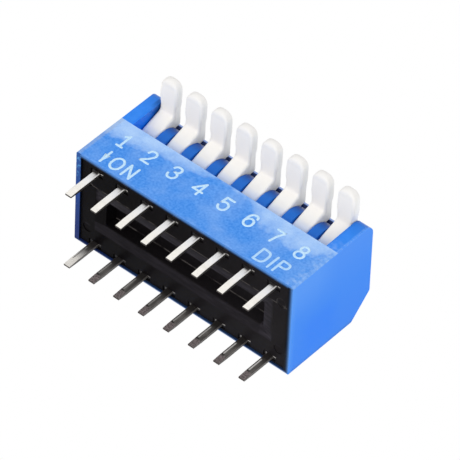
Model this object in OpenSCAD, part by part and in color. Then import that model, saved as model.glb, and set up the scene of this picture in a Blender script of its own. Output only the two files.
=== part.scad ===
// Piano-type DIP switch: a row of side-acting levers in a clip-on cover, on a
// base that carries two rows of through-hole terminals.
//
// X runs along the row, Y from the printed face to the back, Z away from the
// board. The origin is the centre of the pin pattern on the seating plane.
// Pressing a lever's finger towards the board turns it on. All sizes in mm.

/* [Row] */
// Number of switches in the row
positions = 8; // [1:1:12]
// Distance from one switch to the next
pitch = 2.54; // [2.4:0.01:3.4]
// Distance between the two rows of pins
row_spacing = 7.62; // [7.2:0.01:9.2]

/* [Cover] */
// Height of the cover at its back, from its rim to the top of its roof
cover_h = 9.62; // [9.2:0.01:12]
// How much lower the roof is at the front
roof_fall = 0.14; // [0:0.01:0.2]
// Distance from the front pins to the foot of the printed face
front_reach = 1.22; // [1:0.01:2]
// Distance from the rear pins to the back
back_reach = 0.73; // [0.7:0.01:2]
// Distance from the outer levers' centres to the ends
end_reach = 1.98; // [1.8:0.01:3]
// Height of the window that the levers come out of, above the printed face
window_h = 4.37; // [4:0.01:5]
// How far the printed face leans back over its height
face_lean = 0.14; // [0:0.01:0.3]
// How far the end cheeks stand forward again above the printed face
cheek_lean = 0.1; // [0:0.01:0.3]
// Radius of the cheeks' upper front corners
cheek_r = 1; // [0.4:0.1:1.4]
// Size of the sloped back edge
back_chamfer = 2.2; // [1:0.1:3]
// Radius where the sloped back edge meets the roof
chamfer_top_r = 0.3; // [0.1:0.05:0.5]
// Radius where the sloped back edge meets the back
chamfer_foot_r = 0.5; // [0.1:0.05:0.8]
// Radius of the back wall's lower outer edge
back_foot_r = 0.28; // [0.05:0.01:0.28]
// Radius of the cover's upright outer corners
corner_r = 0.2; // [0.05:0.05:0.25]
// Thickness of the front wall
front_wall = 0.42; // [0.3:0.01:0.6]
// Thickness of the back wall
back_wall = 0.33; // [0.3:0.01:0.4]
// Thickness of the end walls
end_wall = 0.45; // [0.3:0.01:0.6]
// Thickness of the roof
roof_wall = 0.8; // [0.5:0.05:1]
// Thickness of the wall under the sloped back edge
slope_wall = 0.6; // [0.6:0.05:0.9]
// Distance from the pivots forward to the roof's front edge
roof_reach = 0.8; // [0.6:0.05:1]
// Radius of the roof's front edge
roof_r = 0.6; // [0.1:0.05:0.65]
// Distance from the pivots forward to the ribs' arched fronts
rib_reach = 1.76; // [1.7:0.01:2]
// Radius of the ribs' arched fronts
rib_r = 2.15; // [2.1:0.01:2.5]
// Height of the notch between a rib and the roof
notch_h = 0.25; // [0.1:0.05:0.4]
// Depth of the notch between a rib and the roof
notch_depth = 0.3; // [0.1:0.05:0.5]

/* [Levers] */
// Width of a lever at its drum and leg
lever_w = 1.46; // [1.2:0.01:1.7]
// Width of a lever's finger
finger_w = 1.64; // [1.32:0.01:2]
// Thickness of a finger at its root
finger_t = 0.82; // [0.5:0.01:0.9]
// How much thinner a finger is at its tip
finger_draft = 0.08; // [0:0.01:0.2]
// Distance from the pivot forward to a finger's tip
finger_reach = 5.45; // [4:0.01:7]
// Height of a finger's lower face above the pivot
finger_rise = 1.5; // [1.2:0.01:1.6]
// Radius of the corners of a finger's tip, seen from the printed side
tip_r = 0.78; // [0.2:0.01:0.8]
// Distance from the top of the cover down to the pivots
pivot_drop = 2.77; // [2.7:0.01:2.95]
// Distance from the front pins back to the pivots
pivot_set = 1.51; // [1.4:0.01:1.7]
// Radius of a lever's drum
drum_r = 1.6; // [1.4:0.01:1.7]
// Lean of a lever's leg from the drum to the finger, in degrees
leg_lean = 18.5; // [10:0.5:24]
// Radius where the leg turns into the finger
knee_r = 0.35; // [0.1:0.05:0.5]
// Radius of the lower edge of a finger's tip
tip_low_r = 0.45; // [0.1:0.05:0.5]
// Radius of the upper edge of a finger's tip
tip_top_r = 0.2; // [0.05:0.05:0.25]
// How far past the top of its drum a lever's heel runs, in degrees
heel_run = 12; // [0:1:20]
// Radius of the heel's upper edge
heel_r = 0.12; // [0.05:0.01:0.2]
// Distance from the cover forward to where a lever takes its finger's width
widen_from = 0.1; // [0.05:0.05:0.5]
// Length over which a lever takes its finger's width
widen_len = 0.5; // [0.3:0.05:1]
// Radius of the pivot pins
pivot_r = 0.45; // [0.3:0.01:0.6]
// Distance that a pivot pin stands out of the drum's side
pivot_len = 0.36; // [0.2:0.01:0.38]
// Turn of a lever from off to on, in degrees
lever_throw = 24; // [10:1:26]
// Distance from the pivot back to the end of the tail inside
tail_len = 2.35; // [2:0.05:2.6]
// Height of the tail's lower face above the pivot
tail_rise = 0.25; // [0.1:0.05:0.4]
// Radius of the tail's end
tail_r = 0.3; // [0.1:0.05:0.35]

/* [Base] */
// Height of the block above the seating plane
base_top = 3.9; // [3.4:0.05:4.2]
// Distance from the rim up to the underside of the base
base_inset = 0.15; // [0:0.01:0.3]
// Width of the hollow between the pin rows
hollow_w = 2.54; // [1.5:0.01:3]
// Distance from the outer pins' centres in to the ends of the hollow
hollow_end = 0.91; // [0.8:0.01:1.2]
// Depth of the hollow
hollow_depth = 1.2; // [0.5:0.05:1.4]
// How much the hollow narrows to its floor, on each side
hollow_draft = 0.22; // [0:0.01:0.3]
// Width of the sloped frame around the hollow
frame_w = 1; // [0.2:0.05:1.2]
// Depth of the sloped frame at its inner edge
frame_depth = 0.18; // [0.05:0.01:0.3]
// Radius of the ejector marks
mark_r = 0.45; // [0.2:0.01:0.5]
// Depth of the ejector marks
mark_depth = 0.06; // [0.02:0.01:0.1]
// Distance from the outer pins' centres out to the ejector marks
mark_out = 0.81; // [0.6:0.01:0.9]
// Distance from the pin rows in to the ejector marks
mark_in = 1.31; // [1.1:0.01:1.8]

/* [Terminals] */
// Length of the pins below the seating plane
pin_len = 3.15; // [2.5:0.05:4]
// Width of the pins
pin_w = 0.58; // [0.4:0.01:0.7]
// Thickness of the sheet that the terminals are cut from
sheet_t = 0.25; // [0.15:0.01:0.3]
// Length of the coined tip
coin_len = 0.95; // [0.3:0.05:1.2]
// Width of the tip's end
coin_w = 0.58; // [0.3:0.01:0.6]
// Thickness of the tip's end
coin_t = 0.14; // [0.1:0.01:0.2]
// Width of the blades inside the base
blade_w = 1.1; // [0.7:0.01:1.3]
// Depth of the pockets around the pins
pocket_depth = 0.1; // [0.1:0.01:0.4]
// Gap at each end of a pocket
pocket_gap = 0.08; // [0.03:0.01:0.1]
// Gap at each side of a pocket
pocket_side = 0.14; // [0.05:0.01:0.2]
// Height of the first bend of the blades
blade_floor = 2.3; // [2:0.05:2.4]
// Rise of each bend of the blades
bend = 0.45; // [0.3:0.05:0.5]
// Place of the front blade's end round the drum, in degrees
front_blade_at = -6; // [-10:0.5:-4]
// Place of the rear blade's end round the drum, in degrees
rear_blade_at = 21; // [20:0.5:26]

/* [Contacts] */
// Width of the contact strip
strip_w = 0.9; // [0.5:0.01:1]
// Thickness of the contact strip
strip_t = 0.12; // [0.08:0.01:0.15]
// Gap between the drum and the strip
strip_gap = 0.18; // [0.1:0.01:0.25]
// Front end of the contact strip at rest, in degrees
strip_from = -36; // [-40:1:-30]
// Rear end of the contact strip at rest, in degrees
strip_to = 9; // [6:1:12]
// Depth of the strip's tabs in the drum
tab_depth = 0.3; // [0.2:0.01:0.5]

/* [Fits] */
// Side clearance between a lever and the ribs
lever_clear = 0.1; // [0.05:0.01:0.15]
// Radial clearance of the pivot pins
pivot_clear = 0.04; // [0.02:0.01:0.06]
// Clearance of the base in the cover, and of the posts in their slots
base_clear = 0.03; // [0.02:0.01:0.06]
// Gap between the strip and the blades that it wipes
wipe_clear = 0.05; // [0.03:0.01:0.08]
// Clearance of the strip's tabs in the drum
tab_clear = 0.03; // [0.02:0.01:0.05]
// Gap between a lever's heel and the roof at rest
stop_clear = 0.12; // [0.08:0.01:0.2]
// Gap between a lever's tail and the roof when the lever is on
tail_clear = 0.05; // [0.03:0.01:0.1]

/* [Hidden] */
$fn = 48;
eps = 0.01;
big = 40;
numbers = [1:positions];

// The row: places along X
row_len = (positions - 1) * pitch;
body_len = row_len + 2 * end_reach;
rib_t = pitch - lever_w - 2 * lever_clear;
inner_len = body_len - 2 * end_wall;
cheek_x = row_len / 2 + lever_w / 2 + lever_clear;
function lever_x(i) = (i - (positions + 1) / 2) * pitch;
function rib_x(j) = lever_x(j) + pitch / 2;

// The section: places along Y and Z
front_pin_y = -row_spacing / 2;
rear_pin_y = row_spacing / 2;
face_h = cover_h - window_h;
front_y = front_pin_y - front_reach;
back_y = rear_pin_y + back_reach;
face_top_y = front_y + face_lean;
cheek_y = face_top_y - cheek_lean;
roof_front_h = cover_h - roof_fall;
roof_z = roof_front_h - roof_wall;
pivot = [front_pin_y + pivot_set, cover_h - pivot_drop];
roof_front_y = pivot.x - roof_reach;
rib_bottom = base_top + base_clear;
rib_centre = pivot + [rib_r - rib_reach, 0];
rib_foot_angle = 200;

// Where the front wall's inner face and the back wall's inner face are
function front_inner(z) = front_y + front_wall + face_lean * z / face_h;
back_inner = back_y - back_wall;
inner_chamfer = back_chamfer - back_wall - roof_fall - roof_wall + slope_wall * sqrt(2);

// Contact: a curved strip round the underside of the drum. Its angles and the
// blades' count from straight down, positive towards the back
strip_in = drum_r + strip_gap;
strip_out = strip_in + strip_t;
tab_in = drum_r - tab_depth;
blade_r = strip_out + wipe_clear + sheet_t / 2;
front_blade_end = pivot + blade_r * [sin(front_blade_at), -cos(front_blade_at)];
rear_blade_end = pivot + blade_r * [sin(rear_blade_at), -cos(rear_blade_at)];

// Underside of the base
shoulder_z = base_inset + pocket_depth;

function unit(v) = v / norm(v);

// Points of an arc about c, from angle a to angle b
function arc(c, r, a, b, n = 12) = [
    for (k = [0:n])
        let (turn = a + (b - a) * k / n)
        c + r * [cos(turn), sin(turn)]
];

// A corner at p, rounded to radius r, on the way from a to b
function corner(a, p, b, r) =
    let (u = unit(a - p), v = unit(b - p), half = acos(u * v) / 2)
    let (c = p + unit(u + v) * r / sin(half), s = p + u * r / tan(half) - c, e = p + v * r / tan(half) - c)
    let (from = atan2(s.y, s.x), turn = atan2(e.y, e.x) - from)
    arc(c, r, from, from + (turn > 180 ? turn - 360 : turn < -180 ? turn + 360 : turn), 6);

// An outline from points [x, y, radius]
function outline(p) = [
    for (i = [0:len(p) - 1])
        let (a = p[(i + len(p) - 1) % len(p)], m = p[i], b = p[(i + 1) % len(p)])
        each m.z == 0 ? [[m.x, m.y]] : corner([a.x, a.y], [m.x, m.y], [b.x, b.y], m.z)
];

// One side of a strip of thickness t along a path, mitred at its bends
function strip_side(path, t) = [
    for (i = [0:len(path) - 1])
        let (a = unit(path[max(i, 1)] - path[max(i, 1) - 1]))
        let (b = unit(path[min(i + 1, len(path) - 1)] - path[min(i + 1, len(path) - 1) - 1]))
        let (n = unit([-a.y - b.y, a.x + b.x]))
        path[i] + n * t / 2 / (n * [-a.y, a.x])
];

function backwards(path) = [for (i = [len(path) - 1:-1:0]) path[i]];

// The outline of a strip of thickness t along a path
function strip(path, t) = concat(strip_side(path, t), strip_side(backwards(path), t));

// A section in Y and Z, drawn out to a width along X
module along_x(width) {
    rotate([90, 0, 90])
        linear_extrude(width, center = true)
            children();
}

// A section in X and Z, drawn out to a depth along Y
module along_y(depth) {
    rotate([90, 0, 0])
        linear_extrude(depth, center = true)
            children();
}

// A block whose four sides slope: half sizes at its foot and at its top
module sloped_block(foot, top, h) {
    intersection() {
        along_x(big)
            polygon([[-foot.y, 0], [foot.y, 0], [top.y, h], [-top.y, h]]);
        along_y(big)
            polygon([[-foot.x, 0], [foot.x, 0], [top.x, h], [-top.x, h]]);
    }
}

// ---- Cover ----

// The cover's outer section, which the end cheeks show in full
module cover_section() {
    polygon(outline([
        [front_y, 0, 0],
        [face_top_y, face_h, 0],
        [cheek_y, roof_front_h, cheek_r],
        [back_y - back_chamfer, cover_h, chamfer_top_r],
        [back_y, cover_h - back_chamfer, chamfer_foot_r],
        [back_y, 0, back_foot_r]
    ]));
}

// The cover's outline seen along Z, with its upright corners rounded
module cover_plan() {
    half_len = body_len / 2;
    polygon(outline([
        [-half_len, front_y, corner_r],
        [half_len, front_y, corner_r],
        [half_len, back_y, corner_r],
        [-half_len, back_y, corner_r]
    ]));
}

// The hollow inside the walls and roof, open at the rim
module cavity_section() {
    polygon([
        [front_inner(-1), -1],
        [front_inner(face_h), face_h],
        [front_inner(face_h), roof_z],
        [back_inner - inner_chamfer, roof_z],
        [back_inner, roof_z - inner_chamfer],
        [back_inner, -1]
    ]);
}

// The window that the levers come out of, above the printed face
module window_section() {
    roof_slope = roof_fall / (back_y - back_chamfer - cheek_y);
    edge_z = roof_front_h + roof_slope * (roof_front_y - cheek_y);
    polygon(concat(
        [[-big, face_h], [roof_front_y, face_h]],
        arc([roof_front_y + roof_r, edge_z - roof_r], roof_r, 180, 90, 8),
        [[roof_front_y + roof_r, big], [-big, big]]
    ));
}

// A rib between two levers, with an arched front beside the drums
module rib_section() {
    top_angle = 180 - asin((roof_z - notch_h - rib_centre.y) / rib_r);
    top = rib_centre + rib_r * [cos(top_angle), sin(top_angle)];
    polygon(concat(
        [
            [back_inner + eps, rib_bottom],
            [front_inner(rib_bottom) - eps, rib_bottom],
            [front_inner(face_h) - eps, face_h],
            [rib_centre.x + rib_r * cos(rib_foot_angle), face_h]
        ],
        arc(rib_centre, rib_r, rib_foot_angle, top_angle, 20),
        [
            [top.x + notch_depth, top.y],
            [top.x + notch_depth, roof_z + eps],
            [back_inner - inner_chamfer, roof_z + eps],
            [back_inner + eps, roof_z - inner_chamfer]
        ]
    ));
}

// The seat for the pivot pins: a slot from below with a round end
module pivot_slot(width) {
    translate([0, pivot.x, pivot.y])
        rotate([0, 90, 0])
            cylinder(r = pivot_r + pivot_clear, h = width, center = true);
    translate([-width / 2, pivot.x - pivot_r - pivot_clear, 0])
        cube([width, 2 * (pivot_r + pivot_clear), pivot.y]);
}

// The inner layer of an end cheek, with the cover's full section
module cheek_rib() {
    along_x(rib_t)
        intersection() {
            cover_section();
            translate([-big, rib_bottom])
                square(2 * big);
        }
}

// Rib number j: the first and the last are part of the end cheeks
module rib(j) {
    translate([rib_x(j), 0, 0])
        if (j == 0 || j == positions)
            cheek_rib();
        else
            along_x(rib_t)
                rib_section();
}

module cover() {
    color("#2f79e6")
        difference() {
            union() {
                difference() {
                    intersection() {
                        along_x(body_len)
                            cover_section();
                        translate([0, 0, -eps])
                            linear_extrude(big)
                                cover_plan();
                    }
                    along_x(inner_len)
                        cavity_section();
                    along_x(2 * cheek_x)
                        window_section();
                }
                for (j = [0:positions])
                    rib(j);
            }
            for (j = [0:positions])
                intersection() {
                    translate([rib_x(j), 0, 0])
                        pivot_slot(rib_t + 2 * eps);
                    cube([inner_len, big, big], center = true);
                }
        }
}

// ---- Base ----

module base_block() {
    front = [front_inner(base_inset) + base_clear, front_inner(base_top) + base_clear];
    back = back_inner - base_clear;
    along_x(inner_len - 2 * base_clear)
        polygon([[front[0], base_inset], [front[1], base_top], [back, base_top], [back, base_inset]]);
}

// A post that stands in a rib's slot and holds the pivot pins from below
module post(j) {
    half = pivot_r + pivot_clear - base_clear;
    intersection() {
        translate([rib_x(j) - rib_t / 2, pivot.x - half, base_top - eps])
            cube([rib_t, 2 * half, pivot.y - pivot_r - pivot_clear - base_top + eps]);
        cube([inner_len - 2 * base_clear, big, big], center = true);
    }
}

// The hollow between the pin rows, with its sloped frame
module underside_hollow() {
    inner = [row_len / 2 - hollow_end, hollow_w / 2];
    outer = inner + [frame_w, frame_w];
    floor = inner - [hollow_draft, hollow_draft];
    translate([0, 0, base_inset])
        sloped_block(outer, inner, frame_depth);
    translate([0, 0, base_inset + frame_depth - eps])
        sloped_block(inner, floor, hollow_depth - frame_depth + eps);
}

// The pocket around a pin's root
module pin_pocket(i, y) {
    width = blade_w + 2 * pocket_gap;
    depth = sheet_t + 2 * pocket_side;
    translate([lever_x(i) - width / 2, y - depth / 2, 0])
        cube([width, depth, shoulder_z]);
}

module base() {
    color("#1b1a1b")
        difference() {
            union() {
                base_block();
                for (j = [0:positions])
                    post(j);
            }
            underside_hollow();
            for (i = numbers) {
                pin_pocket(i, front_pin_y);
                pin_pocket(i, rear_pin_y);
                front_blade(i);
                rear_blade(i);
            }
            for (x = [-1, 1], y = [-1, 1])
                translate([x * (row_len / 2 + mark_out), y * (row_spacing / 2 - mark_in), 0])
                    cylinder(r = mark_r, h = base_inset + mark_depth);
        }
}

// ---- Terminals ----

// The pin: a strip with a coined tip
module pin(i, y) {
    half_w = pin_w / 2;
    half_t = sheet_t / 2;
    foot = -pin_len;
    knee = coin_len - pin_len;
    translate([lever_x(i), y, 0])
        intersection() {
            along_y(big)
                polygon([
                    [-coin_w / 2, foot], [coin_w / 2, foot], [half_w, knee],
                    [half_w, shoulder_z + eps], [-half_w, shoulder_z + eps], [-half_w, knee]
                ]);
            along_x(big)
                polygon([
                    [-coin_t / 2, foot], [coin_t / 2, foot], [half_t, knee],
                    [half_t, shoulder_z + eps], [-half_t, shoulder_z + eps], [-half_t, knee]
                ]);
        }
}

// A blade inside the base, whose rounded end meets the contact strip
module blade(i, path) {
    end = path[len(path) - 1];
    translate([lever_x(i), 0, 0]) {
        along_x(blade_w)
            polygon(strip(path, sheet_t));
        translate([0, end.x, end.y])
            rotate([0, 90, 0])
                cylinder(d = sheet_t, h = blade_w, center = true);
    }
}

module front_blade(i) {
    blade(i, [
        [front_pin_y, shoulder_z],
        [front_pin_y, blade_floor],
        [front_pin_y + bend, blade_floor + bend],
        [front_blade_end.x - bend, blade_floor + bend],
        [front_blade_end.x, blade_floor + 2 * bend],
        front_blade_end
    ]);
}

module rear_blade(i) {
    blade(i, [
        [rear_pin_y, shoulder_z],
        [rear_pin_y, blade_floor - bend],
        [rear_pin_y - bend, blade_floor],
        [rear_blade_end.x + bend, blade_floor],
        [rear_blade_end.x, blade_floor + bend],
        rear_blade_end
    ]);
}

module front_terminal(i) {
    color("#cfcdc8")
        union() {
            pin(i, front_pin_y);
            front_blade(i);
        }
}

module rear_terminal(i) {
    color("#cfcdc8")
        union() {
            pin(i, rear_pin_y);
            rear_blade(i);
        }
}

// ---- Levers ----

// The leg and finger, seen from the end of the row
module lever_section() {
    finger_z = pivot.y + finger_rise;
    tip_y = pivot.x - finger_reach;
    tip_t = finger_t - finger_draft;
    heel_y = roof_front_y - stop_clear;
    foot = pivot - drum_r * [cos(leg_lean), sin(leg_lean)];
    polygon(outline([
        [foot.x, foot.y, 0],
        [foot.x - (finger_z - foot.y) * tan(leg_lean), finger_z, knee_r],
        [tip_y, finger_z + finger_draft, min(tip_low_r, tip_t - tip_top_r - eps)],
        [tip_y, finger_z + finger_t, tip_top_r],
        [heel_y, finger_z + finger_t, heel_r],
        [heel_y, roof_z - stop_clear, 0],
        [pivot.x + drum_r * sin(heel_run), pivot.y + drum_r * cos(heel_run), 0],
        [pivot.x, pivot.y, 0]
    ]));
    translate(pivot)
        circle(drum_r);
    tail_section();
}

// The tail inside: its upper corner meets the roof when the lever is on
module tail_section() {
    reach = tail_len - tail_r;
    room = roof_z - pivot.y - tail_clear - tail_r;
    top = pivot.y + tail_r + (room - reach * sin(lever_throw)) / cos(lever_throw);
    polygon(outline([
        [pivot.x, pivot.y + tail_rise, 0],
        [pivot.x, top, 0],
        [pivot.x + tail_len, top, tail_r],
        [pivot.x + tail_len, pivot.y + tail_rise, tail_r]
    ]));
}

// The finger's shape seen along Z, which also rounds its tip
module lever_plan() {
    tip_y = pivot.x - finger_reach;
    root_y = front_y - widen_from;
    plan_r = min(tip_r, finger_w / 2 - eps);
    polygon(outline([
        [-lever_w / 2, big, 0],
        [-lever_w / 2, root_y, 0],
        [-finger_w / 2, root_y - widen_len, 0],
        [-finger_w / 2, tip_y, plan_r],
        [finger_w / 2, tip_y, plan_r],
        [finger_w / 2, root_y - widen_len, 0],
        [lever_w / 2, root_y, 0],
        [lever_w / 2, big, 0]
    ]));
}

// The contact strip's section, grown by a clearance for its seats in the drum
module tab_section(a, grow) {
    translate(pivot)
        rotate(a - 90)
            translate([tab_in - grow, -strip_t / 2 - grow])
                square([strip_out - tab_in + grow, strip_t + 2 * grow]);
}

module contact_section() {
    polygon(concat(
        arc(pivot, strip_out, strip_from - 90, strip_to - 90, 20),
        arc(pivot, strip_in, strip_to - 90, strip_from - 90, 20)
    ));
    tab_section(strip_from, 0);
    tab_section(strip_to, 0);
}

module lever(i) {
    color("#efeeeb")
        translate([lever_x(i), 0, 0])
            difference() {
                union() {
                    intersection() {
                        along_x(max(lever_w, finger_w))
                            lever_section();
                        linear_extrude(big)
                            lever_plan();
                    }
                    translate([0, pivot.x, pivot.y])
                        rotate([0, 90, 0])
                            cylinder(r = pivot_r, h = lever_w + 2 * pivot_len, center = true);
                }
                along_x(strip_w + 2 * tab_clear) {
                    tab_section(strip_from, tab_clear);
                    tab_section(strip_to, tab_clear);
                }
            }
}

module contact(i) {
    color("#d9b45c")
        translate([lever_x(i), 0, 0])
            along_x(strip_w)
                contact_section();
}

cover();
base();
for (i = numbers) {
    lever(i);
    contact(i);
    front_terminal(i);
    rear_terminal(i);
}
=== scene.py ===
# %% [markdown]
# # An eight-way piano DIP switch
# A piano DIP switch is a row of eight little rocking keys in a blue moulded cover. The cover sits over a
# black base, and two rows of tinned pins come out under it. The solid parts are already made and placed by
# the CAD model, so this lesson is about everything that makes them look real: the view, the light, the
# plastics, the tin and the white printing. The CAD model is loaded first, and its box is kept for later.

# %% Load the CAD model
import math

import bmesh
import bpy
from mathutils import Matrix, Vector


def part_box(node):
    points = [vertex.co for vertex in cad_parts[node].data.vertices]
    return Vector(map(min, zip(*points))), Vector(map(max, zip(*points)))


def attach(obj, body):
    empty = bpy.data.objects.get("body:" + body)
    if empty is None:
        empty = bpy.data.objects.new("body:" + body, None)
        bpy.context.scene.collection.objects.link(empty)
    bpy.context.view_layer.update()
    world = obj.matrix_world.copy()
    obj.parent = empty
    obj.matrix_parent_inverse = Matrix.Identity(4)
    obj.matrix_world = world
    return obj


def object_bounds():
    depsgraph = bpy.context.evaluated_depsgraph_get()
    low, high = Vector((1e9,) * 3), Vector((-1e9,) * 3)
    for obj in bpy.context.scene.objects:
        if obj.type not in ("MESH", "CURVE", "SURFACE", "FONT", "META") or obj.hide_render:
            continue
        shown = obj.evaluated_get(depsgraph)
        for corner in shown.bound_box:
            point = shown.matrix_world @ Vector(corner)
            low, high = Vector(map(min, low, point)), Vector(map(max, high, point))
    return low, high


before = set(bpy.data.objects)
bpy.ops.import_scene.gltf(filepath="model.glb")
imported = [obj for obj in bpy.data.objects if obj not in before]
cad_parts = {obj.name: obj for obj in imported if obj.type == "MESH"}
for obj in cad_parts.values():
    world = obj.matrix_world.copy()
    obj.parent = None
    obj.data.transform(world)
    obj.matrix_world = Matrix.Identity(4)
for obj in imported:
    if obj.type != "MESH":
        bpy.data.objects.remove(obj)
cad_low, cad_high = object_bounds()
MM = 0.001
KEYS = range(1, 9)
print("the switch is", [round((b - a) / MM, 2) for a, b in zip(cad_low, cad_high)], "mm")

# %% [markdown]
# ## The camera
# A small part is usually pictured with a long lens from far away, so its parallel edges stay nearly parallel.
# The camera could be set with a rotation in degrees, but three plain facts are easier to follow: how far it
# has gone round the object, how far it has gone up or down, and how far it was rolled. This one looks up from
# below the front, where the pins and the hollow underside show.

# %% Stand the camera in front of and below the switch
VIEW_ROUND, VIEW_UP, VIEW_ROLL = math.radians(31.989), math.radians(-33.706), math.radians(51.374)
VIEW_AIM = Vector((1.504, -2.064, 3.819)) * MM
VIEW_DISTANCE = 408.39 * MM
LENS = 418.26
NEAREST, FARTHEST = 0.01, 20

back = Vector((math.sin(VIEW_ROUND) * math.cos(VIEW_UP), -math.cos(VIEW_ROUND) * math.cos(VIEW_UP),
               math.sin(VIEW_UP)))
level_right = Vector((math.cos(VIEW_ROUND), math.sin(VIEW_ROUND), 0))
level_up = back.cross(level_right)
right = level_right * math.cos(VIEW_ROLL) + level_up * math.sin(VIEW_ROLL)
up = level_up * math.cos(VIEW_ROLL) - level_right * math.sin(VIEW_ROLL)

camera_data = bpy.data.cameras.new("long_lens")
camera_data.lens = LENS
camera_data.clip_start, camera_data.clip_end = NEAREST, FARTHEST
camera = bpy.data.objects.new("camera", camera_data)
bpy.context.scene.collection.objects.link(camera)
turned = Matrix((right, up, back)).transposed().to_4x4()
camera.matrix_world = Matrix.Translation(VIEW_AIM + back * VIEW_DISTANCE) @ turned
bpy.context.scene.camera = camera
bpy.context.scene.view_settings.view_transform = "Standard"
print("camera at", [round(c, 3) for c in camera.location])

# %% [markdown]
# ## Places on the switch
# X runs along the row of keys, Y from the printed front to the back, and Z up from the board. Zones of a
# finish are picked out by their place along these axes, in millimetres. The main places are read from the
# boxes of the CAD pieces. FAR is a place beyond the switch, for a zone that is open on one side.

# %% The cover's faces and the spacing of the keys
cover_low, cover_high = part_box("cover")
END, FACE_FRONT, BACK = cover_high.x / MM, cover_low.y / MM, cover_high.y / MM
FACE_BACK, FACE_TOP = -4.86, 5.25
FAR = 30
first_low, first_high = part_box("lever_1")
last_low, last_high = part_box("lever_8")
FIRST_X, LAST_X = (first_low.x + first_high.x) / 2 / MM, (last_low.x + last_high.x) / 2 / MM
PITCH = (LAST_X - FIRST_X) / (len(KEYS) - 1)
print("the cover ends at X", round(END, 2), "and spans Y", round(FACE_FRONT, 2), "to", round(BACK, 2))
print("the keys are", round(PITCH, 2), "mm apart")

# %% [markdown]
# ## Helpers for materials
# Every finish here is a Principled shader with a few procedural patterns plugged into it. A pattern that is
# read from Object coordinates stays fixed to the moulding. The objects are in metres and the switch is only
# 22 mm long, so a noise is given by the width of one of its spots in millimetres. A zone is a share between
# 0 and 1: along, under and between measure it on one axis, and stripe measures it across each key's column,
# so that one material serves all the pins.

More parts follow.
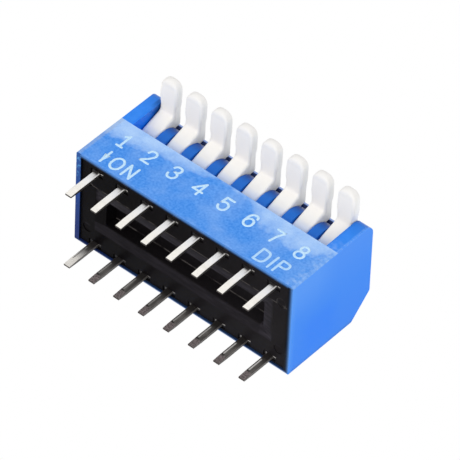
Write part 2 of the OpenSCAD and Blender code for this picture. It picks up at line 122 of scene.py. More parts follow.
# %% A finish: its nodes, noises, ramps and zones
class Finish:
    """One material, with its Principled shader and its Object coordinates at hand."""

    def __init__(self, name, **sockets):
        self.material = bpy.data.materials.new(name)
        self.material.use_nodes = True
        self.tree = self.material.node_tree
        self.shader = self.tree.nodes["Principled BSDF"]
        self.place = self.node("ShaderNodeTexCoord").outputs["Object"]
        for socket, value in sockets.items():
            self.shader.inputs[socket.replace("_", " ")].default_value = value

    def node(self, kind, inputs=None, **settings):
        """A new node. Each of its inputs is a value, or the output of another node."""
        made = self.tree.nodes.new(kind)
        for key, value in settings.items():
            setattr(made, key, value)
        for key, value in (inputs or {}).items():
            if isinstance(value, bpy.types.NodeSocket):
                self.tree.links.new(value, made.inputs[key])
            else:
                made.inputs[key].default_value = value
        return made

    def plug(self, output, socket):
        """Feeds a pattern into a socket of the shader."""
        self.tree.links.new(output, self.shader.inputs[socket])

    def noise(self, spot_mm, detail=2, stretch=(1, 1, 1), shift=(0, 0, 0)):
        """Random spots of this width, as a value that stays near a half."""
        mapping = self.node("ShaderNodeMapping", {
            "Vector": self.place, "Scale": [s / (spot_mm * MM) for s in stretch], "Location": shift})
        made = self.node("ShaderNodeTexNoise", {"Vector": mapping.outputs[0], "Scale": 1, "Detail": detail})
        return made.outputs["Fac"]

    def ramp(self, value, *stops):
        """Turns a value into a colour, or into another value, by stops of (where, what)."""
        made = self.node("ShaderNodeValToRGB", {"Fac": value})
        elements = made.color_ramp.elements
        while len(elements) < len(stops):
            elements.new(1)
        for element, (where, colour) in zip(elements, stops):
            element.position = where
            element.color = (*colour, 1) if isinstance(colour, tuple) else (colour, colour, colour, 1)
        return made.outputs["Color"]

    def math(self, operation, a, b=0.0):
        """One step of reckoning on two values."""
        return self.node("ShaderNodeMath", {0: a, 1: b}, operation=operation).outputs[0]

    def both(self, *shares):
        """The product of shares, each a zone or a plain number."""
        product = shares[0]
        for share in shares[1:]:
            product = self.math("MULTIPLY", product, share)
        return product

    def rest(self, share):
        """What a share leaves over: 1 where it is 0, and 0 where it is 1."""
        return self.math("SUBTRACT", 1.0, share)

    def slide(self, value, from_mm, to_mm):
        """0 where a length is from_mm, 1 where it is to_mm, and even between them."""
        made = self.node("ShaderNodeMapRange", {
            "Value": value, "From Min": from_mm * MM, "From Max": to_mm * MM})
        return made.outputs[0]

    def split(self):
        """The place on the switch as three lengths, called X, Y and Z."""
        return self.node("ShaderNodeSeparateXYZ", {0: self.place}).outputs

    def along(self, axis, low_mm, high_mm):
        """0 below low_mm on an axis of the switch, 1 above high_mm, and even between them."""
        return self.slide(self.split()[axis], low_mm, high_mm)

    def under(self, axis, low_mm, high_mm):
        """1 below low_mm on an axis of the switch, 0 above high_mm, and even between them."""
        return self.rest(self.along(axis, low_mm, high_mm))

    def between(self, axis, low_mm, high_mm, soft_mm=0.05):
        """1 between two places on an axis, 0 outside them, with soft edges."""
        rise = self.along(axis, low_mm - soft_mm, low_mm)
        fall = self.along(axis, high_mm, high_mm + soft_mm)
        return self.math("SUBTRACT", rise, fall)

    def stripe(self, low_mm, high_mm, soft_mm=0.04):
        """1 between two places across a key's own column, 0 outside them, alike in all eight columns."""
        moved = self.math("ADD", self.split()["X"], (PITCH / 2 - FIRST_X) * MM)
        in_column = self.math("FLOORED_MODULO", moved, PITCH * MM)
        across = self.math("SUBTRACT", in_column, PITCH / 2 * MM)
        rise = self.slide(across, low_mm - soft_mm, low_mm)
        fall = self.slide(across, high_mm + soft_mm, high_mm)
        return self.both(rise, fall)

    def blend(self, share, a, b):
        """Colour a where the share is 0, colour b where it is 1, and a mix between."""
        made = self.node("ShaderNodeMix", data_type="RGBA")
        for index, value in ((0, share), (6, a), (7, b)):
            if isinstance(value, bpy.types.NodeSocket):
                self.tree.links.new(value, made.inputs[index])
            else:
                made.inputs[index].default_value = (*value, 1) if index else value
        return made.outputs[2]

    def bump(self, height, depth_mm, strength):
        """Makes the surface look uneven where the height changes."""
        made = self.node("ShaderNodeBump", {
            "Height": height, "Distance": depth_mm * MM, "Strength": strength})
        self.plug(made.outputs[0], "Normal")


def put_on(finish, names):
    """Gives the CAD nodes one finish."""
    for name in names:
        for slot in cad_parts[name].material_slots:
            slot.material = finish.material
    print(finish.material.name, "has", len(finish.tree.nodes), "nodes and is on", len(names), "pieces")


# %% [markdown]
# ## The floor
# The switch stands on its pins, so the floor is at the height of their tips. Seen from above it is a plain
# pale sheet that catches the shadow. The chosen view looks up at the switch from below the floor, so the
# sheet is made one-sided: from underneath it isn't there. Light passes through it both ways, so that the lamp
# below still reaches the underside.

# %% Lay a round floor under the pins
FLOOR_RADIUS, FLOOR_SIDES = 1.5, 64
FLOOR_WHITE = 0.82
floor_mesh = bpy.data.meshes.new("floor")
sheet = bmesh.new()
bmesh.ops.create_circle(sheet, cap_ends=True, radius=FLOOR_RADIUS, segments=FLOOR_SIDES)
bmesh.ops.translate(sheet, verts=sheet.verts, vec=(0, 0, cad_low.z))
sheet.to_mesh(floor_mesh)
sheet.free()
floor = bpy.data.objects.new("floor", floor_mesh)
bpy.context.scene.collection.objects.link(floor)

paper = Finish("pale_floor", Base_Color=(FLOOR_WHITE, FLOOR_WHITE, FLOOR_WHITE, 1), Roughness=0.9)
seen_from_below = paper.node("ShaderNodeNewGeometry").outputs["Backfacing"]
ray = paper.node("ShaderNodeLightPath").outputs
soft_light = paper.math("MAXIMUM", ray["Is Shadow Ray"], ray["Is Diffuse Ray"])
unseen = paper.math("MAXIMUM", seen_from_below, soft_light)
clear = paper.node("ShaderNodeBsdfTransparent")
one_sided = paper.node("ShaderNodeMixShader", {0: unseen, 1: paper.shader.outputs[0], 2: clear.outputs[0]})
paper.tree.links.new(one_sided.outputs[0], paper.tree.nodes["Material Output"].inputs["Surface"])
floor_mesh.materials.append(paper.material)
print("floor at", round(cad_low.z / MM, 2), "mm")

# %% [markdown]
# ## The light
# A part like this is lit softly from all round, so that its colours show as they are. The world does most of
# that work, and four broad, weak lamps help it. One stands at the front left, one at the right, one shines up
# at the underside that the camera looks at, and one over the back keeps the roof clear. The background that
# the camera, gloss and glass see is plain white. It is brighter than the world that lights the plastic, so
# reflections are clear without more soft light on the switch.

# %% Light the world
ROOM_STRENGTH = 0.74
WHITE = (1, 1, 1, 1)
world = bpy.data.worlds.new("soft_room")
world.use_nodes = True
bpy.context.scene.world = world
sky = world.node_tree
room = sky.nodes["Background"]
room.inputs["Color"].default_value = WHITE
room.inputs["Strength"].default_value = ROOM_STRENGTH
white = sky.nodes.new("ShaderNodeBackground")
white.inputs["Color"].default_value = WHITE
path = sky.nodes.new("ShaderNodeLightPath")
seen = path.outputs["Is Camera Ray"]
for kind in ("Is Glossy Ray", "Is Transmission Ray"):
    either = sky.nodes.new("ShaderNodeMath")
    either.operation = "MAXIMUM"
    sky.links.new(seen, either.inputs[0])
    sky.links.new(path.outputs[kind], either.inputs[1])
    seen = either.outputs[0]
choose = sky.nodes.new("ShaderNodeMixShader")
sky.links.new(seen, choose.inputs[0])
sky.links.new(room.outputs[0], choose.inputs[1])
sky.links.new(white.outputs[0], choose.inputs[2])
sky.links.new(choose.outputs[0], sky.nodes["World Output"].inputs["Surface"])
print("the world shines at", ROOM_STRENGTH)


# %% Hang four soft lamps
def soft_lamp(name, towards, distance, size, power):
    """A square lamp in that direction from the middle of the switch, facing it."""
    lamp = bpy.data.lights.new(name, "AREA")
    lamp.size, lamp.energy = size, power
    made = bpy.data.objects.new(name, lamp)
    bpy.context.scene.collection.objects.link(made)
    direction = Vector(towards).normalized()
    made.location = (cad_low + cad_high) / 2 + direction * distance
    made.rotation_mode = "QUATERNION"
    made.rotation_quaternion = direction.to_track_quat("Z", "Y")


soft_lamp("front_lamp", (-0.5, -0.9, -0.1), distance=0.5, size=0.35, power=0.14)
soft_lamp("right_lamp", (0.9, -0.3, -0.1), distance=0.5, size=0.3, power=0.42)
soft_lamp("low_lamp", (0.0, -0.5, -0.87), distance=0.5, size=0.4, power=1.0)
soft_lamp("rear_lamp", (-0.2, 0.8, 0.9), distance=0.6, size=0.4, power=0.3)
print(len(bpy.data.lights), "lamps")

# %% [markdown]
# ## Blue cover
# The cover is moulded in a clear, strong blue with a satin skin. Its walls between the keys get little light,
# so they are painted in darker shade, and some of its edges are paler, several with painted highlights. One
# material holds all of this, because the moulding is one piece.

# %% Blue plastic: the body and the end wall
blue = Finish("cover_blue", Specular_IOR_Level=0.15)
body = blue.ramp(blue.noise(0.4, 4), (0.3, (0.024, 0.225, 0.84)), (0.7, (0.034, 0.250, 0.89)))
# Painted shade: the cover is darker high up at the front, around the tops of the cheeks.
shaded_high_front = blue.both(blue.along("Z", 7.2, 9.0), blue.under("Y", -2, 0), 0.75)
body = blue.blend(shaded_high_front, body, (0.020, 0.170, 0.66))
# The end wall's colours are painted light and shade: lighter at the front and along its foot, where light
# falls on it, darker at its back edge, and more saturated in a patch towards the back.
end_wall = blue.ramp(blue.along("Y", -5, 4.5), (0.0, (0.044, 0.282, 0.98)), (0.5, (0.017, 0.250, 0.98)),
                     (0.94, (0.011, 0.230, 0.97)), (1.0, (0.014, 0.178, 0.70)))
deep_patch = blue.both(blue.between("Y", 0.9, 3.2, 1.6), blue.between("Z", 2.4, 4.6, 1.6), 0.9)
end_wall = blue.blend(deep_patch, end_wall, (0.002, 0.222, 1.0))
lit_wall_front = blue.both(blue.under("Y", -4, -1), blue.under("Z", 3, 5.5), 0.7)
end_wall = blue.blend(lit_wall_front, end_wall, (0.070, 0.325, 1.0))
lit_wall_foot = blue.both(blue.under("Z", 0.05, 0.6), 0.5)
end_wall = blue.blend(lit_wall_foot, end_wall, (0.08, 0.36, 1.0))
colour = blue.blend(blue.along("X", END - 0.07, END - 0.01), body, end_wall)
print("the body and the end wall take", len(blue.tree.nodes), "nodes")

# %% Blue plastic: painted shade between the keys, and a painted highlight on the roof's front edge
# Painted shade: between the keys the blue turns darker going up, where the keys shut out the light.
pit_shade = blue.ramp(blue.along("Z", FACE_TOP, 9), (0.1, (0.016, 0.185, 0.72)), (0.45, (0.014, 0.150, 0.60)),
                 (0.72, (0.006, 0.065, 0.34)), (0.88, (0.003, 0.016, 0.10)))
in_pit = blue.both(blue.between("X", -9.9, 9.9), blue.between("Y", -4.7, 1.8, 0.3),
                   blue.between("Z", -FAR, 9.0))
colour = blue.blend(in_pit, colour, pit_shade)
# Painted light: the inner face of the left cheek is lighter low down, where more light reaches it.
lit_left_cheek = blue.both(blue.between("X", -FAR, -9.66, 0.04), in_pit, blue.under("Z", 6, 8))
colour = blue.blend(lit_left_cheek, colour, (0.006, 0.200, 1.0))
# A painted shadow lies along the left cheek's inner edge, next to the first key.
cheek_edge_shadow = blue.both(blue.between("X", -10.0, -9.71, 0.15), blue.between("Y", -FAR, -2.5),
                       blue.along("Z", 7.6, 8.4), 0.8)
colour = blue.blend(cheek_edge_shadow, colour, (0.006, 0.090, 0.36))
# A painted highlight: the roof's rounded front edge between the keys is pale, where it catches the light.
nose_highlight = blue.both(blue.between("X", -9.7, 9.7), blue.between("Y", -3.3, -2.92, 0.1),
                    blue.between("Z", 9.1, 9.5, 0.1), 0.65)
colour = blue.blend(nose_highlight, colour, (0.50, 0.60, 0.90))
print("with the deep zone", len(blue.tree.nodes), "nodes")

# %% [markdown]
# The joint around the base and the lower rim are darker, with painted shade. The rim's outer edge has a
# painted highlight at the front and on the right, and so does the foot of the back, except near its left end.

# %% Blue plastic: painted shade in the joint and on the lower rim
# Painted shade: inside the cover, around the base, the blue is nearly black.
shaded_joint = blue.both(blue.between("X", -10.8, 10.8), blue.between("Y", -4.9, 4.15),
                  blue.between("Z", 0.006, 1.6))
colour = blue.blend(shaded_joint, colour, (0.003, 0.008, 0.03))
# The rim is painted in shade, a little lighter at the front.
rim = blue.ramp(blue.along("Y", -5, 4.5), (0.05, (0.020, 0.085, 0.32)), (0.4, (0.010, 0.053, 0.25)),
                (0.85, (0.010, 0.028, 0.15)))
# Paler streaks, broken by noise, at the rim's front left corner.
pale_streaks = blue.ramp(blue.noise(0.3, 3, shift=(2, 2, 6)), (0.5, 0.0), (0.62, 1.0))
streaked_corner = blue.both(pale_streaks, blue.between("X", -FAR, -10.35), blue.between("Y", -FAR, -3.6, 1.6), 0.7)
rim = blue.blend(streaked_corner, rim, (0.10, 0.36, 0.70))
# A painted highlight on the rim's outer edge at the front, fading inwards into painted shade.
front_rim = blue.ramp(blue.along("Y", FACE_FRONT, -4.60), (0.0, (0.078, 0.260, 0.72)),
                      (0.3, (0.070, 0.220, 0.58)), (0.5, (0.050, 0.145, 0.37)), (0.7, (0.018, 0.055, 0.15)),
                      (0.9, (0.002, 0.006, 0.02)))
at_front = blue.both(blue.along("X", -10.5, -10.3), blue.under("Y", -4.4, -4.3))
rim = blue.blend(at_front, rim, front_rim)
# A painted highlight on the right rim, brighter outwards and towards the front, with painted shade on its
# inner part.
further_back = blue.both(blue.along("Y", -2.5, 2.5), 0.12)
outwards = blue.math("SUBTRACT", blue.along("X", 10.40, END), further_back)
right_rim = blue.ramp(outwards, (0.1, (0.001, 0.002, 0.005)), (0.3, (0.005, 0.014, 0.035)),
                      (0.5, (0.020, 0.056, 0.14)), (0.7, (0.052, 0.150, 0.38)), (0.95, (0.085, 0.280, 0.78)))
at_right = blue.both(blue.along("X", 10.36, 10.42), blue.along("Y", -4.90, -4.72))
rim = blue.blend(at_right, rim, right_rim)
colour = blue.blend(blue.between("Z", -0.1, 0.004, 0.003), colour, rim)
print("with the rim", len(blue.tree.nodes), "nodes")

# %% Blue plastic: the foot of the back
# A painted highlight along the foot of the back, brighter towards its outer edge. Near the left end it is
# painted in shade.
heel = blue.ramp(blue.along("Y", 4.2, BACK), (0.0, (0.010, 0.030, 0.09)), (0.2, (0.055, 0.110, 0.27)),
                 (0.4, (0.140, 0.245, 0.50)), (0.6, (0.190, 0.330, 0.64)))
shaded_left_heel = blue.both(blue.under("X", -8.5, -4.5), 0.8)
heel = blue.blend(shaded_left_heel, heel, (0.010, 0.022, 0.12))
on_heel = blue.both(blue.between("X", -10.84, 10.6, 0.02), blue.between("Y", 4.15, BACK - 0.02, 0.02),
                    blue.between("Z", -0.1, 0.3))
colour = blue.blend(on_heel, colour, heel)
print("with the heel", len(blue.tree.nodes), "nodes")

# %% [markdown]
# The printed face is rubbed before it is printed, so it is paler and duller than the rest, with a fine
# mottle, and a painted highlight runs along its foot. A painted sheen, a cloudy pale reflection with broad
# patches, lies over it towards the keys. Its lower edge wanders up and down across the face, so
# that edge is a small curve through given points, and noise breaks it up. In HAZE_EDGE both numbers of a
# point are
# shares: of the way across the face, and of the way up it.

# %% Blue plastic: the rubbed face and its haze
PALE_BLUE = (0.48, 0.69, 1.0)
HAZE_EDGE = ((0, 0.57), (0.12, 0.6), (0.22, 0.7), (0.34, 0.78), (0.46, 0.92), (0.58, 0.93), (0.66, 0.74),
             (0.75, 0.61), (0.93, 0.6), (0.97, 0.84), (1, 0.86))
on_face = blue.both(blue.between("Y", -FAR, FACE_BACK, 0.02), blue.between("Z", 0.01, FACE_TOP, 0.01))
rubbed_and_sheen = blue.ramp(blue.noise(0.2, 6), (0.3, (0.032, 0.225, 0.76)), (0.7, (0.105, 0.350, 0.90)))
# Painted sheen: broad pale patches over the face.
sheen_patches = blue.ramp(blue.noise(2.6, 4, shift=(5, 1, 8)), (0.42, 0.0), (0.68, 0.22))
rubbed_and_sheen = blue.blend(sheen_patches, rubbed_and_sheen, PALE_BLUE)
# A painted highlight along the foot of the face.
lit_face_foot = blue.both(blue.under("Z", 0.06, 0.24), 0.04)
rubbed_and_sheen = blue.blend(lit_face_foot, rubbed_and_sheen, PALE_BLUE)
haze_edge = blue.node("ShaderNodeFloatCurve", {"Value": blue.along("X", -11, 11)})
line = haze_edge.mapping.curves[0]
line.points[0].location, line.points[1].location = HAZE_EDGE[0], HAZE_EDGE[-1]
for where, height in HAZE_EDGE[1:-1]:
    line.points.new(where, height)
haze_edge.mapping.update()
# The painted sheen: a cloudy pale reflection above the wandering edge, thinned by the cloud and speckle
# noises.
wander = blue.both(blue.math("SUBTRACT", blue.noise(0.7, 5), 0.5), 0.3)
above = blue.math("SUBTRACT", blue.along("Z", 0, FACE_TOP), haze_edge.outputs[0])
painted_sheen = blue.ramp(blue.math("ADD", above, wander), (0.0, 0.0), (0.09, 0.55), (0.26, 1.0))
cloud = blue.ramp(blue.noise(1.3, 4, shift=(3, 1, 2)), (0.35, 0.72), (0.6, 1.0))
speckle = blue.ramp(blue.noise(0.12, 3), (0.35, 0.85), (0.6, 1.0))
face_colour = blue.blend(blue.both(painted_sheen, cloud, speckle, 0.88), rubbed_and_sheen, PALE_BLUE)
print("the haze's edge has", len(line.points), "points")

# %% Blue plastic: paler edges, and a painted highlight on the right edge
# The face is paler and greyer along its left edge and paler near its right end, and the right cheek is paler
# just above the face, all broken by noise.
border_blotches = blue.ramp(blue.noise(0.35, 4, shift=(7, 2, 5)), (0.45, 0.15), (0.6, 1.0))
left_border = blue.both(blue.under("X", -10.62, -10.42), blue.math("MAXIMUM", border_blotches, 0.6), 0.75)
face_colour = blue.blend(left_border, face_colour, (0.34, 0.46, 0.68))
right_border = blue.both(blue.along("X", 9.9, 10.4), border_blotches, 0.35)
face_colour = blue.blend(right_border, face_colour, PALE_BLUE)
colour = blue.blend(on_face, colour, face_colour)
cheek_foot = blue.both(blue.between("Z", FACE_TOP, 5.5, 1.2), blue.between("X", 9.85, 10.75, 0.1),
                       blue.between("Y", -FAR, -4, 0.3), blue.rest(on_face), border_blotches, 0.2)
colour = blue.blend(cheek_foot, colour, PALE_BLUE)
dots = blue.ramp(blue.noise(0.16, 2), (0.4, 0.25), (0.65, 1.0))
# A painted highlight: a dotted pale line along the rounded edge between the face and the end wall.
right_edge_highlight = blue.both(blue.between("X", 10.72, FAR, 0.08), blue.between("Y", -FAR, FACE_BACK, 0.08),
                       dots, 0.3)
colour = blue.blend(right_edge_highlight, colour, (0.36, 0.60, 1.0))
blue.plug(colour, "Base Color")
dull = blue.node("ShaderNodeMapRange", {"Value": on_face, "To Min": 0.32, "To Max": 0.55})
blue.plug(dull.outputs[0], "Roughness")
blue.bump(blue.noise(0.1, 3), 0.005, 0.6)
put_on(blue, ["cover"])

# %% [markdown]
# ## Black base
# The base is black and a little shiny, and paler towards the right. The front and right slopes of its hollow
# and the frame at its back have painted light on them. A hair-thin, broken painted highlight runs along two
# edges of the hollow. The ejector mark at the front right has a painted highlight round it.

# %% Black plastic: the block, painted light on the slopes of its hollow, and painted edge highlights
black = Finish("base_black", Roughness=0.42, Specular_IOR_Level=0.05)
soot = black.ramp(black.noise(0.3, 3), (0.3, (0.0038, 0.0030, 0.0034)), (0.7, (0.0066, 0.0055, 0.0060)))
left_soot = black.blend(0.5, soot, (0.002, 0.0015, 0.002))
right_soot = black.blend(0.6, soot, (0.019, 0.017, 0.019))
soot = black.blend(black.along("X", -8, 9), left_soot, right_soot)
in_hollow = black.both(black.between("Z", 0.2, 1.3), black.between("X", -9.2, 9.2),
                       black.between("Y", -2.4, 2.4))
# Painted light: the front and right slopes of the hollow, and the frame at the back, are paler and streaky.
front_slope = black.both(in_hollow, black.between("Y", -FAR, -1.0))
right_slope = black.both(in_hollow, black.between("X", 7.7, FAR))
lit_slopes = black.ramp(black.noise(0.25, 4, stretch=(0.15, 1, 1)), (0.4, (0.018, 0.016, 0.020)),
                     (0.7, (0.034, 0.030, 0.038)))
colour = black.blend(black.math("MAXIMUM", front_slope, right_slope), soot, lit_slopes)
rear_frame = black.both(black.between("Z", 0.155, 0.34, 0.005), black.between("Y", 1.4, 2.25), 0.5)
colour = black.blend(rear_frame, colour, lit_slopes)
broken = black.ramp(black.noise(0.8, 3), (0.4, 0.1), (0.55, 1.0))
# Painted highlights: hair-thin broken lines along an edge of the frame and an edge of the hollow's floor.
front_edge_glint = black.both(black.between("Y", -2.32, -2.25, 0.02), black.between("Z", 0.1, 0.22, 0.02), 0.3)
floor_edge_glint = black.both(black.between("Y", 1.04, 1.10, 0.02), black.between("Z", 1.28, FAR, 0.02), 0.4)
edge_glint = black.both(black.math("MAXIMUM", front_edge_glint, floor_edge_glint), broken)
colour = black.blend(edge_glint, colour, (0.20, 0.18, 0.17))
print("the block and its hollow take", len(black.tree.nodes), "nodes")

# %% Black plastic: a painted highlight round the ejector mark
MARK_X, MARK_Y, MARK_R = 9.70, -2.50, 0.45
place = black.split()
mark_dx = black.math("SUBTRACT", place["X"], MARK_X * MM)
mark_dy = black.math("SUBTRACT", place["Y"], MARK_Y * MM)
from_mark = black.math("SQRT", black.math("ADD", black.both(mark_dx, mark_dx), black.both(mark_dy, mark_dy)))
# A painted highlight: a broken pale ring just inside the mark's edge.
mark_glint = black.slide(from_mark, MARK_R - 0.12, MARK_R - 0.03)
inside = black.slide(from_mark, MARK_R + 0.04, MARK_R)
colour = black.blend(black.both(mark_glint, inside, broken), colour, (0.07, 0.065, 0.065))
black.plug(colour, "Base Color")
black.bump(black.noise(0.08, 3), 0.004, 0.6)
put_on(black, ["base"])

# %% [markdown]
# ## White levers
# The levers are nearly white. Their fingers are painted a touch warmer underneath, which offsets the blue
# light bounced from the cover, and paler towards the top with painted light. They are greyer at the very end
# with painted shade, and a band of painted shade runs along the lower right edge. Low down, the legs take a
# painted blue reflection from the cover.

# %% White plastic
ivory = Finish("lever_white", Roughness=0.42, Specular_IOR_Level=0.35)
clean = ivory.ramp(ivory.noise(0.5, 3), (0.3, (0.89, 0.89, 0.875)), (0.7, (0.93, 0.93, 0.915)))
# Painted light: the fingers are warmer underneath, to offset the blue that the cover bounces onto them, and
# brighter towards the top.
finger = ivory.ramp(ivory.along("Z", 8.2, 9.3), (0.17, (0.95, 0.910, 0.845)), (0.28, (0.90, 0.885, 0.86)),
                    (0.45, (0.92, 0.92, 0.90)), (0.85, (0.99, 0.99, 0.98)))
# Painted shade: the very end of each finger is greyer.
shaded_finger_end = ivory.both(ivory.under("Y", -7.5, -7.0), 0.75)
finger = ivory.blend(shaded_finger_end, finger, (0.82, 0.80, 0.78))
# Painted shade: a grey band along the lower right edge of each finger.
shade_band = ivory.both(ivory.stripe(0.70, 0.95, 0.14), ivory.along("Y", -7.2, -5.2),
                       ivory.between("Z", 7.4, 8.42, 0.16))
finger = ivory.blend(shade_band, finger, (0.77, 0.76, 0.74))
colour = ivory.blend(ivory.under("Y", -4.6, -3.8), clean, finger)
# A painted reflection: low on the legs the white takes blue from the cover.
blue_bounce_low = ivory.both(ivory.under("Z", 6.2, 6.9), 0.9)
colour = ivory.blend(blue_bounce_low, colour, (0.67, 0.78, 1.0))
ivory.plug(colour, "Base Color")
ivory.bump(ivory.noise(0.08, 2), 0.003, 0.5)
put_on(ivory, ["lever_%d" % n for n in KEYS])

# %% [markdown]
# ## Tinned pins
# The pins are stamped from sheet that was tinned first. The flat faces keep the creamy, half-matt tin, and
# the cut sides show the darker bare metal. The front pins are painted brighter up to a root in painted shade,
# with painted glints beside it, and the pockets beside the pins are painted dark. The rear pins turn a face
# in painted shade to the front row, with a thin painted highlight along one side and a painted dark line
# where the cut tip begins. The first of them stands more freely, so its lower part is painted lighter. One
# material serves all sixteen.

# %% Tin: the creamy front row
tin = Finish("pin_tin", Roughness=0.5, Metallic=0.1)
cream = tin.ramp(tin.noise(0.3, 4), (0.3, (0.86, 0.83, 0.77)), (0.7, (0.95, 0.92, 0.86)))
specks = tin.ramp(tin.noise(0.07, 2, shift=(4, 4, 4)), (0.68, 0.0), (0.74, 0.6))
cream = tin.blend(specks, cream, (0.35, 0.32, 0.30))
# Painted light: the front face is brighter up towards the root.
cream = tin.blend(tin.along("Z", -2.0, -0.6), cream, (0.99, 0.98, 0.97))
# Painted shade: the very root is dark.
root_shade = tin.along("Z", -0.18, 0.04)
cream = tin.blend(root_shade, cream, (0.05, 0.045, 0.045))
# Painted shade: a dark groove line beside the root.
groove_shade = tin.both(tin.stripe(0.10, 0.14), tin.along("Z", -0.6, -0.15), 0.5)
cream = tin.blend(groove_shade, cream, (0.10, 0.09, 0.09))
# A painted glint along the pin's right edge near the root.
root_glint = tin.both(tin.stripe(0.19, 0.30, 0.03), tin.between("Z", -0.6, 0.14, 0.08))
cream = tin.blend(root_glint, cream, (0.97, 0.95, 0.92))
print("the front row takes", len(tin.tree.nodes), "nodes")

# %% Tin: the rear row in painted shade
TIP_CUT = -2.26
# Painted shade: the rear pins' inner faces are dull and dark, darkest at the root.
shade = tin.ramp(tin.noise(0.3, 4, stretch=(1, 1, 0.25)), (0.35, (0.085, 0.080, 0.075)),
                 (0.65, (0.17, 0.16, 0.15)))
shade = tin.blend(tin.along("Z", -1.3, -0.3), shade, (0.020, 0.017, 0.016))
# A painted highlight: a thin bright line along one side, stronger towards the right.
gleam_line = tin.both(tin.stripe(-0.17, -0.1), tin.between("Z", -2.05, -0.7, 0.15))
brighter_right = tin.math("ADD", 0.3, tin.both(tin.along("X", 0, 7), 0.7))
shade = tin.blend(tin.both(gleam_line, brighter_right), shade, (0.70, 0.68, 0.66))
tip_metal = tin.ramp(tin.noise(0.12, 3), (0.4, (0.10, 0.085, 0.085)), (0.6, (0.24, 0.20, 0.20)))
shade = tin.blend(tin.under("Z", TIP_CUT - 0.06, TIP_CUT), shade, tip_metal)
# Painted shade: a dark line where the cut tip begins.
step_shade = tin.both(tin.stripe(-0.22, 0.0), tin.between("Z", TIP_CUT, TIP_CUT + 0.1, 0.04))
shade = tin.blend(step_shade, shade, (0.03, 0.026, 0.025))
rear = tin.between("Y", 0, 3.88, 0.03)
# Painted light: the first rear pin stands more freely, so its lower part is lighter.
first_pin = tin.under("X", -8.4, -7)
lit_end = tin.both(rear, first_pin, tin.under("Z", -2.1, -0.85), 0.9)
colour = tin.blend(tin.math("SUBTRACT", rear, lit_end), cream, shade)
# A dark line down the first rear pin.
first_line = tin.both(tin.stripe(-0.19, -0.13), first_pin, rear, tin.between("Z", -2.2, -0.9, 0.1), 0.7)
colour = tin.blend(first_line, colour, (0.06, 0.05, 0.05))
print("with the rear row", len(tin.tree.nodes), "nodes")

# %% Tin: cut sides, painted shade in the pockets, and painted glints on the shoulders
PIN_HALF = 0.31
cut_metal = tin.blend(rear, (0.045, 0.040, 0.038), (0.11, 0.10, 0.095))
cut_sides = tin.math("ADD", tin.stripe(PIN_HALF - 0.025, PIN_HALF, 0.005),
                     tin.stripe(-PIN_HALF, -PIN_HALF + 0.025, 0.005))
colour = tin.blend(cut_sides, colour, cut_metal)
# Painted shade: the shoulders in the pockets beside each pin are nearly black.
pocket_shade = tin.math("ADD", tin.stripe(PIN_HALF + 0.02, FAR), tin.stripe(-FAR, -PIN_HALF - 0.02))
colour = tin.blend(pocket_shade, colour, (0.02, 0.018, 0.018))
# Painted glints: a thin line on each right shoulder and a spot on the left shoulder of the rear pins, fainter
# towards the left of the rear row.
near_edge = tin.math("ADD", tin.between("Y", -3.95, -3.86, 0.02), tin.between("Y", 3.66, 3.76, 0.02))
to_right = tin.along("X", -7, 6)
dim_rear = tin.rest(tin.both(rear, tin.rest(to_right), 0.85))
right_shoulder_glint = tin.both(tin.stripe(PIN_HALF, 0.54, 0.02), near_edge, dim_rear, 0.5)
left_shoulder_glint = tin.both(tin.stripe(-0.43, -0.38), rear, to_right, 0.3)
colour = tin.blend(tin.math("MAXIMUM", right_shoulder_glint, left_shoulder_glint), colour, (0.95, 0.90, 0.85))
colour = tin.blend(tin.under("Z", -3.145, -3.13), colour, (0.08, 0.07, 0.065))
tin.plug(colour, "Base Color")
tin.bump(tin.noise(0.12, 3), 0.004, 0.5)
put_on(tin, [row + "_terminal_%d" % n for row in ("front", "rear") for n in KEYS])

# %% [markdown]
# ## Contact strips
# The strips under the levers are springy brass. All that shows of them is a sliver under each leg, when the
# switch is seen from the front, but they get their own metal too.

# %% Brass
brass = Finish("contact_brass", Roughness=0.3, Metallic=1.0)
warm = brass.ramp(brass.noise(0.25, 3), (0.3, (0.62, 0.44, 0.17)), (0.7, (0.75, 0.55, 0.24)))
brass.plug(warm, "Base Color")
put_on(brass, ["contact_%d" % n for n in KEYS])

# %% [markdown]
# ## Soft edges on the levers
# The levers came out of a mould with generous, melted-looking edges, softer than any single radius. Four
# modifiers give them this: one welds the mesh, one lays an even skin over it, one smooths that skin, and the
# last one swells it by the little that smoothing took off.

# %% Soften
WELD_WITHIN = 0.001 * MM
SKIN_CELL, SWELL = 0.05 * MM, 0.03 * MM
SMOOTH_SHARE, SMOOTH_PASSES = 0.5, 46


def melt(node):
    """Rounds every edge of a node softly, then gives back the little that rounding takes off."""
    weld = node.modifiers.new("join_triangles", "WELD")
    weld.merge_threshold = WELD_WITHIN
    cells = node.modifiers.new("even_skin", "REMESH")
    cells.mode, cells.voxel_size = "VOXEL", SKIN_CELL
    cells.use_smooth_shade = True
    soft = node.modifiers.new("soft_edges", "SMOOTH")
    soft.factor, soft.iterations = SMOOTH_SHARE, SMOOTH_PASSES
    full = node.modifiers.new("full_size", "DISPLACE")
    full.mid_level, full.strength = 0.0, SWELL


for n in KEYS:
    melt(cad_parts["lever_%d" % n])
graph = bpy.context.evaluated_depsgraph_get()
key_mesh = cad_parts["lever_1"].evaluated_get(graph).data
print("a key has", len(key_mesh.polygons), "faces")

# %% [markdown]
# ## White printing
# The numbers, the arrow and the two words are stamped on the sloping front with soft ink, so each stroke has
# round ends and an even width. A font would give thick and thin strokes. A pen line through a few points is
# closer: a curve with a round section and a little ball at each end, flattened until it is only a film of
# ink. Each sign is a list of strokes, and a point is given in millimetres from the middle of the sign's foot.

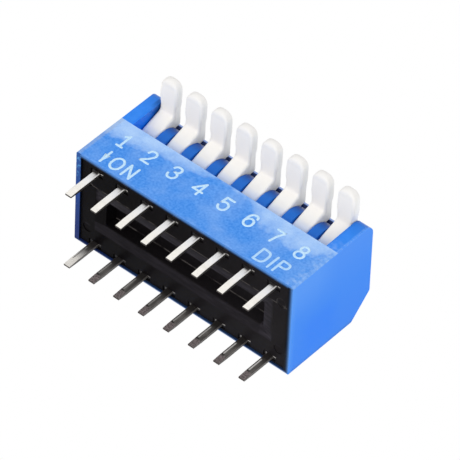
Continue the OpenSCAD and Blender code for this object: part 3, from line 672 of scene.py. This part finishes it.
# %% The strokes of the numbers
HIGH = 1.4
digits = {
    1: [[(-0.28, 1.13), (0.03, HIGH), (0.04, 0)], [(-0.24, 0), (0.28, 0)]],
    2: [["round", (-0.36, 1.02), (-0.25, 1.31), (0, HIGH), (0.25, 1.31), (0.34, 1.04), (0.2, 0.68),
         (-0.38, 0)],
        [(-0.38, 0), (0.4, 0)]],
    3: [["round", (-0.36, 1.12), (-0.22, 1.34), (0.02, HIGH), (0.27, 1.3), (0.32, 1.04), (0.2, 0.83),
         (-0.06, 0.76)],
        ["round", (-0.06, 0.76), (0.26, 0.68), (0.38, 0.42), (0.26, 0.12), (0, 0), (-0.28, 0.1),
         (-0.4, 0.36)]],
    4: [[(0.17, 0), (0.17, HIGH), (-0.48, 0.43), (0.44, 0.43)]],
    5: [[(0.36, HIGH), (-0.34, HIGH), (-0.38, 0.74)],
        ["round", (-0.38, 0.74), (-0.22, 0.88), (0.04, 0.91), (0.3, 0.76), (0.38, 0.46), (0.28, 0.14),
         (0, 0), (-0.26, 0.1), (-0.4, 0.34)]],
    6: [["round", (0.34, 1.14), (0.24, 1.34), (0, HIGH), (-0.28, 1.22), (-0.38, 0.7), (-0.3, 0.18),
         (0.02, 0), (0.3, 0.14), (0.38, 0.45), (0.28, 0.76), (0.02, 0.88), (-0.24, 0.76), (-0.36, 0.5)]],
    7: [[(-0.37, HIGH), (0.36, HIGH)], ["round", (0.36, HIGH), (0.08, 0.8), (-0.08, 0)]],
    8: [["loop", (0, HIGH), (0.31, 1.08), (0, 0.76), (-0.31, 1.08)],
        ["loop", (0, 0.76), (0.39, 0.38), (0, 0), (-0.39, 0.38)]],
}
print(len(digits), "numbers in", sum(len(strokes) for strokes in digits.values()), "strokes")

# %% The strokes of the words and the arrow's shaft
TALL = 1.34
words = {
    "shaft": (-8.85, [[(0, 0), (0, TALL + 0.05)]]),
    "O": (-7.67, [["loop", (0, TALL), (0.34, 1.15), (0.46, TALL / 2), (0.34, 0.19), (0, 0), (-0.34, 0.19),
                   (-0.46, TALL / 2), (-0.34, 1.15)]]),
    "N": (-6.35, [[(-0.37, 0), (-0.37, TALL), (0.37, 0), (0.37, TALL)]]),
    "D": (6.95, [[(0, TALL), (-0.42, TALL), (-0.42, 0), (0, 0)],
                 ["round", (0, TALL), (0.3, 1.22), (0.44, TALL / 2), (0.3, 0.12), (0, 0)]]),
    "I": (7.94, [[(0, 0), (0, TALL)]]),
    "P": (8.82, [[(-0.37, 0), (-0.37, TALL), (0.1, TALL)],
                 ["round", (0.1, TALL), (0.34, 1.26), (0.42, 1.02), (0.34, 0.78), (0.1, 0.7)],
                 [(0.1, 0.7), (-0.37, 0.7)]]),
}
print("words:", "".join(name for name in words if len(name) == 1))

# %% A pen that draws strokes as a mesh
STROKE_WIDTH = 0.22


def pen(strokes, shift):
    """A mesh of the strokes with a round section, in millimetres, drawn in the XY plane from shift."""
    line = bpy.data.curves.new("pen_line", "CURVE")
    line.dimensions, line.bevel_depth, line.bevel_resolution, line.resolution_u = "3D", STROKE_WIDTH / 2, 2, 4
    ends = []
    for stroke in strokes:
        kind, points = (stroke[0], stroke[1:]) if isinstance(stroke[0], str) else ("straight", stroke)
        if kind == "straight":
            # each straight piece is a line of its own, so the pen stays wide at a sharp corner
            ends += points
            for two in zip(points, points[1:]):
                spline = line.splines.new("POLY")
                spline.points.add(1)
                for knot, (x, y) in zip(spline.points, two):
                    knot.co = (x, y, 0, 1)
            continue
        spline = line.splines.new("BEZIER")
        spline.use_cyclic_u = kind == "loop"
        spline.bezier_points.add(len(points) - 1)
        for knot, (x, y) in zip(spline.bezier_points, points):
            knot.co = (x, y, 0)
            knot.handle_left_type = knot.handle_right_type = "AUTO"
        ends += [] if kind == "loop" else [points[0], points[-1]]
    holder = bpy.data.objects.new("pen_holder", line)
    bpy.context.scene.collection.objects.link(holder)
    bpy.context.view_layer.update()
    drawn = bmesh.new()
    drawn.from_mesh(holder.to_mesh())
    for x, y in ends:
        bmesh.ops.create_icosphere(drawn, subdivisions=2, radius=STROKE_WIDTH / 2,
                                   matrix=Matrix.Translation((x, y, 0)))
    bmesh.ops.translate(drawn, verts=drawn.verts, vec=(*shift, 0))
    bpy.data.objects.remove(holder)
    bpy.data.curves.remove(line)
    return drawn


print("the pen is", STROKE_WIDTH, "mm wide")

# %% [markdown]
# The printed face leans back a little, so a sheet lying flat in XY is stood up along it: across stays across,
# up follows the lean, and what was thick becomes the thin film of ink that sits half in the face. The ink is
# thinner on the word at the right, so more of the blue shows through there.

# %% Stand the printing up on the face
FACE_LEAN = 0.14
INK_HEIGHT = 0.02
flatten = 2 * INK_HEIGHT / STROKE_WIDTH
stand_up = Matrix(((1, 0, 0, 0), (0, FACE_LEAN / FACE_TOP, -flatten, FACE_FRONT), (0, 1, 0, 0), (0, 0, 0, 1)))
ink = Finish("printing_ink", Roughness=0.55, Specular_IOR_Level=0.3)
strong = ink.ramp(ink.noise(0.12, 3), (0.35, (0.44, 0.71, 0.98)), (0.6, (0.60, 0.82, 1.0)))
thin = ink.both(ink.along("X", 5.4, 5.6), ink.under("Z", 2.0, 2.4), 0.5)
ink.plug(ink.blend(thin, strong, (0.34, 0.60, 0.96)), "Base Color")


def stamp(drawn, name):
    """Stands a drawn sign up on the printed face as one piece of ink."""
    bmesh.ops.transform(drawn, matrix=Matrix.Diagonal((MM, MM, MM, 1)) @ stand_up, verts=drawn.verts)
    bmesh.ops.recalc_face_normals(drawn, faces=drawn.faces)
    mesh = bpy.data.meshes.new(name)
    drawn.to_mesh(mesh)
    drawn.free()
    mesh.shade_smooth()
    mesh.materials.append(ink.material)
    piece = bpy.data.objects.new(name, mesh)
    bpy.context.scene.collection.objects.link(piece)
    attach(piece, "housing")


DIGIT_FOOT, WORD_FOOT = 2.7, 0.42
DIGIT_SHIFT = -0.03
for n in KEYS:
    key_low, key_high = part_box("lever_%d" % n)
    middle = (key_low.x + key_high.x) / 2 / MM
    stamp(pen(digits[n], (middle + DIGIT_SHIFT, DIGIT_FOOT)), "number_%d" % n)
for name, (across, strokes) in words.items():
    stamp(pen(strokes, (across, WORD_FOOT)), "print_" + name)
print(len(digits) + len(words), "signs in ink", INK_HEIGHT, "mm high")

# %% The arrow's slender head
HEAD_HALF, HEAD_POINT, HEAD_LONG, HEAD_THICK = 0.27, 0.03, 1.0, 0.08
HEAD_FOOT = WORD_FOOT - 0.05
head = bmesh.new()
bmesh.ops.create_cone(head, cap_ends=True, segments=24, radius1=HEAD_HALF, radius2=HEAD_POINT,
                      depth=HEAD_LONG)
bmesh.ops.transform(head, matrix=Matrix.Rotation(math.radians(90), 4, "X"), verts=head.verts)
bmesh.ops.scale(head, verts=head.verts, vec=(1, 1, HEAD_THICK / HEAD_HALF))
bmesh.ops.translate(head, verts=head.verts, vec=(words["shaft"][0], HEAD_FOOT + HEAD_LONG / 2, 0))
stamp(head, "print_arrow_head")
print("the arrow's head is", HEAD_LONG, "mm long")
